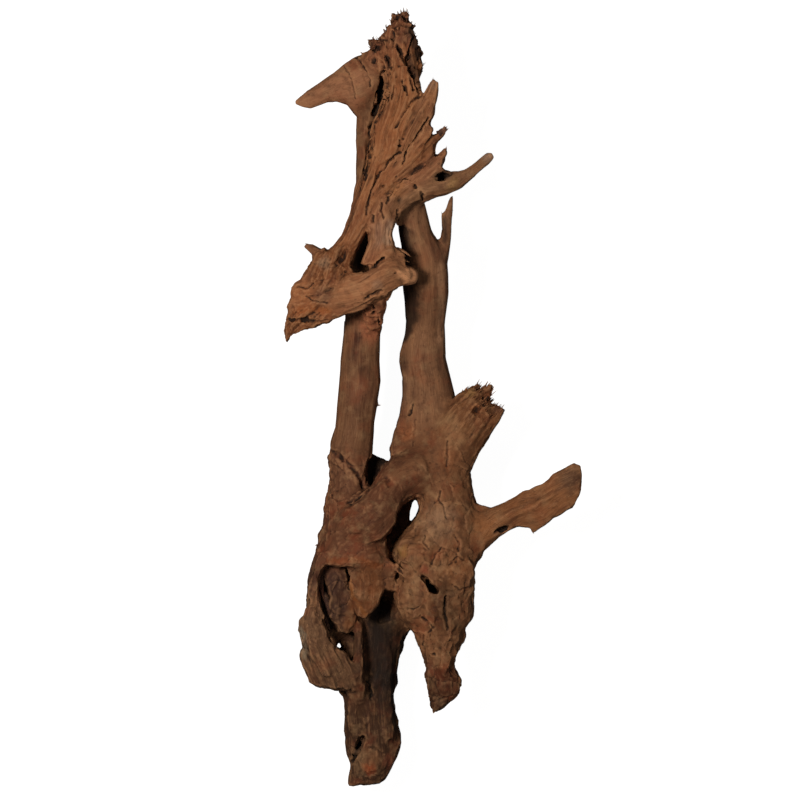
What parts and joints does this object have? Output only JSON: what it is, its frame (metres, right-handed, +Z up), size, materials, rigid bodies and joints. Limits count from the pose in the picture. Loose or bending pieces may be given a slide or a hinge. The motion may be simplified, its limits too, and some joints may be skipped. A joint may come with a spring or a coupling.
{
  "type": "driftwood",
  "caption": "Long weathered root of driftwood: parallel trunks join a twisted fibrous top with horns and a beak to a knotted foot with side arms.",
  "frame": {"origin": "middle of the underside of the box round the wood, in the plane of the surface it lies on", "axes": "+Y along the wood from its broken foot to its crown, +X to the side of the paddle-shaped arm, +Z up from the surface it lies on"},
  "size_m": [0.4268, 1.1176, 0.3048],
  "materials": {
    "weathered_wood": "matt weathered wood"
  },
  "bodies": {
    "root": {"driftwood": "weathered_wood"}
  },
  "joints": []
}
